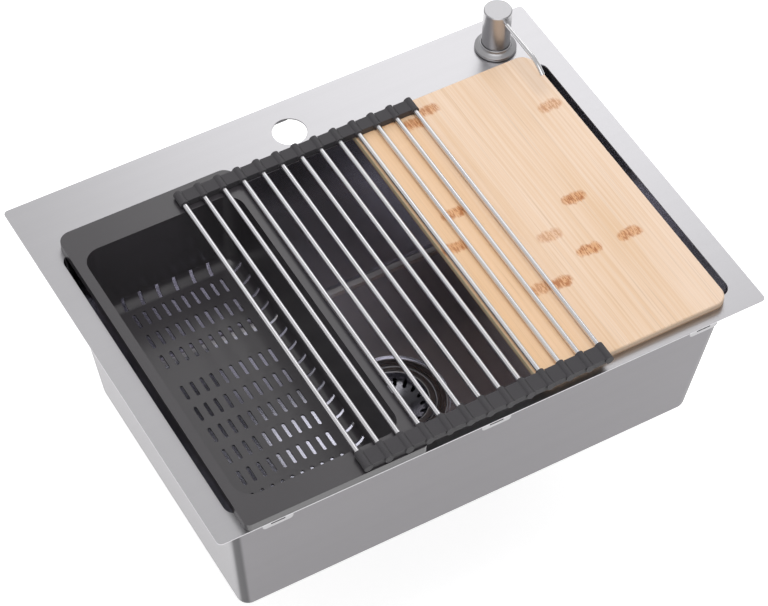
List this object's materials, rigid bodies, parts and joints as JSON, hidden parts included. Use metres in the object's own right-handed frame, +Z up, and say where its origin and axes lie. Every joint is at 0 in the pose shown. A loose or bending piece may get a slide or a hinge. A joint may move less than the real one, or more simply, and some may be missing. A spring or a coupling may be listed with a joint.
{
  "type": "workstation kitchen sink",
  "caption": "Drop-in workstation sink with a colander, cutting board, roll-up rack, basket strainer and soap dispenser on its deck.",
  "frame": {"origin": "middle of the deck on its underside, the plane that rests on the worktop", "axes": "+X to the right along the deck's long side, +Y to the back where the tap stands, +Z up"},
  "size_m": [0.635, 0.483, 0.4205],
  "materials": {
    "deck_steel": "satin stainless, brushed from left to right",
    "bowl_coating": "stainless, dark and glossy inside, satin outside",
    "bracket_steel": "plain stainless, mill finish",
    "pad_rubber": "matte sound pad",
    "strainer_coating": "gunmetal coating, satin",
    "seal_rubber": "matte black",
    "fibre_card": "pressed fibre card",
    "nut_metal": "die-cast, dull",
    "white_plastic": "moulded, satin",
    "tail_chrome": "polished",
    "knob_steel": "turned, satin",
    "dispenser_nickel": "brushed nickel",
    "shank_brass": "nickel-plated thread",
    "bottle_plastic": "clear soap bottle",
    "spring_steel": "drawn wire",
    "colander_plastic": "fine moulded grain",
    "bamboo": "oiled bamboo strips, grain from front to back",
    "rod_steel": "drawn stainless rod",
    "grip_silicone": "matte silicone"
  },
  "bodies": {
    "sink": {"deck_plate": "deck_steel", "bowl": "bowl_coating", "mount_brackets": "bracket_steel", "sound_pads": "pad_rubber", "strainer_body": "strainer_coating", "strainer_gasket": "seal_rubber", "friction_washer": "fibre_card", "strainer_locknut": "nut_metal", "tailpiece_washer": "white_plastic", "tailpiece": "tail_chrome", "slip_nut": "white_plastic", "dispenser_collar": "dispenser_nickel", "collar_seal": "seal_rubber", "dispenser_shank": "shank_brass", "shank_washer": "seal_rubber", "shank_nut": "white_plastic", "soap_bottle": "bottle_plastic", "pump_barrel": "white_plastic", "dip_tube": "white_plastic", "pump_spring": "spring_steel"},
    "basket": {"strainer_basket": "strainer_coating", "basket_knob": "knob_steel", "basket_seal": "seal_rubber"},
    "pump_plunger": {"pump_stem": "white_plastic"},
    "pump_top": {"pump_head": "dispenser_nickel", "pump_spout": "dispenser_nickel"},
    "colander": {"colander": "colander_plastic"},
    "board": {"cutting_board": "bamboo"},
    "rack_link_01": {"rack_rod_01": "rod_steel", "rack_grip_01": "grip_silicone"},
    "rack_link_02": {"rack_rod_02": "rod_steel", "rack_grip_02": "grip_silicone"},
    "rack_link_03": {"rack_rod_03": "rod_steel", "rack_grip_03": "grip_silicone"},
    "rack_link_04": {"rack_rod_04": "rod_steel", "rack_grip_04": "grip_silicone"},
    "rack_link_05": {"rack_rod_05": "rod_steel", "rack_grip_05": "grip_silicone"},
    "rack_link_06": {"rack_rod_06": "rod_steel", "rack_grip_06": "grip_silicone"},
    "rack_link_07": {"rack_rod_07": "rod_steel", "rack_grip_07": "grip_silicone"},
    "rack_link_08": {"rack_rod_08": "rod_steel", "rack_grip_08": "grip_silicone"},
    "rack_link_09": {"rack_rod_09": "rod_steel", "rack_grip_09": "grip_silicone"},
    "rack_link_10": {"rack_rod_10": "rod_steel", "rack_grip_10": "grip_silicone"},
    "rack_link_11": {"rack_rod_11": "rod_steel", "rack_grip_11": "grip_silicone"},
    "rack_link_12": {"rack_rod_12": "rod_steel", "rack_grip_12": "grip_silicone"},
    "rack_link_13": {"rack_rod_13": "rod_steel", "rack_grip_13": "grip_silicone"}
  },
  "joints": [
    {"name": "basket_lift", "type": "slide", "parent": "sink", "child": "basket", "axis": [0, 0, 1], "range_m": [0, 0.05]},
    {"name": "pump_press", "type": "slide", "parent": "sink", "child": "pump_plunger", "axis": [0, 0, -1], "range_m": [0, 0.007], "stiffness_N_per_m": 300, "springref_m": -0.01, "deforming": ["pump_spring"]},
    {"name": "spout_swivel", "type": "hinge", "parent": "pump_plunger", "child": "pump_top", "pos_m": [0.2585, 0.1995, 0.03], "axis": [0, 0, 1], "continuous": true},
    {"name": "colander_slide", "type": "slide", "parent": "sink", "child": "colander", "axis": [1, 0, 0], "range_m": [-0.01, 0.06]},
    {"name": "board_slide", "type": "slide", "parent": "sink", "child": "board", "axis": [1, 0, 0], "range_m": [-0.06, 0.02]},
    {"name": "rack_slide", "type": "slide", "parent": "sink", "child": "rack_link_01", "axis": [1, 0, 0], "range_m": [-0.1, 0.08]},
    {"name": "rack_roll_02", "type": "hinge", "parent": "rack_link_01", "child": "rack_link_02", "pos_m": [-0.152, -0.04, 0.0165], "axis": [0, -1, 0], "range_deg": [0, 26]},
    {"name": "rack_roll_03", "type": "hinge", "parent": "rack_link_02", "child": "rack_link_03", "pos_m": [-0.12885, -0.04, 0.0165], "axis": [0, -1, 0], "range_deg": [0, 26]},
    {"name": "rack_roll_04", "type": "hinge", "parent": "rack_link_03", "child": "rack_link_04", "pos_m": [-0.1057, -0.04, 0.0165], "axis": [0, -1, 0], "range_deg": [0, 26]},
    {"name": "rack_roll_05", "type": "hinge", "parent": "rack_link_04", "child": "rack_link_05", "pos_m": [-0.08255, -0.04, 0.0165], "axis": [0, -1, 0], "range_deg": [0, 26]},
    {"name": "rack_roll_06", "type": "hinge", "parent": "rack_link_05", "child": "rack_link_06", "pos_m": [-0.0594, -0.04, 0.0165], "axis": [0, -1, 0], "range_deg": [0, 26]},
    {"name": "rack_roll_07", "type": "hinge", "parent": "rack_link_06", "child": "rack_link_07", "pos_m": [-0.03625, -0.04, 0.0165], "axis": [0, -1, 0], "range_deg": [0, 26]},
    {"name": "rack_roll_08", "type": "hinge", "parent": "rack_link_07", "child": "rack_link_08", "pos_m": [-0.0131, -0.04, 0.0165], "axis": [0, -1, 0], "range_deg": [0, 26]},
    {"name": "rack_roll_09", "type": "hinge", "parent": "rack_link_08", "child": "rack_link_09", "pos_m": [0.01005, -0.04, 0.0165], "axis": [0, -1, 0], "range_deg": [0, 26]},
    {"name": "rack_roll_10", "type": "hinge", "parent": "rack_link_09", "child": "rack_link_10", "pos_m": [0.0332, -0.04, 0.0165], "axis": [0, -1, 0], "range_deg": [0, 26]},
    {"name": "rack_roll_11", "type": "hinge", "parent": "rack_link_10", "child": "rack_link_11", "pos_m": [0.05635, -0.04, 0.0165], "axis": [0, -1, 0], "range_deg": [0, 26]},
    {"name": "rack_roll_12", "type": "hinge", "parent": "rack_link_11", "child": "rack_link_12", "pos_m": [0.0795, -0.04, 0.0165], "axis": [0, -1, 0], "range_deg": [0, 26]},
    {"name": "rack_roll_13", "type": "hinge", "parent": "rack_link_12", "child": "rack_link_13", "pos_m": [0.10265, -0.04, 0.0165], "axis": [0, -1, 0], "range_deg": [0, 26]}
  ],
  "couplings": [
    {"joint": "rack_roll_03", "follows": "rack_roll_02", "ratio": 1},
    {"joint": "rack_roll_04", "follows": "rack_roll_02", "ratio": 1},
    {"joint": "rack_roll_05", "follows": "rack_roll_02", "ratio": 1},
    {"joint": "rack_roll_06", "follows": "rack_roll_02", "ratio": 1},
    {"joint": "rack_roll_07", "follows": "rack_roll_02", "ratio": 1},
    {"joint": "rack_roll_08", "follows": "rack_roll_02", "ratio": 1},
    {"joint": "rack_roll_09", "follows": "rack_roll_02", "ratio": 1},
    {"joint": "rack_roll_10", "follows": "rack_roll_02", "ratio": 1},
    {"joint": "rack_roll_11", "follows": "rack_roll_02", "ratio": 1},
    {"joint": "rack_roll_12", "follows": "rack_roll_02", "ratio": 1},
    {"joint": "rack_roll_13", "follows": "rack_roll_02", "ratio": 1}
  ]
}
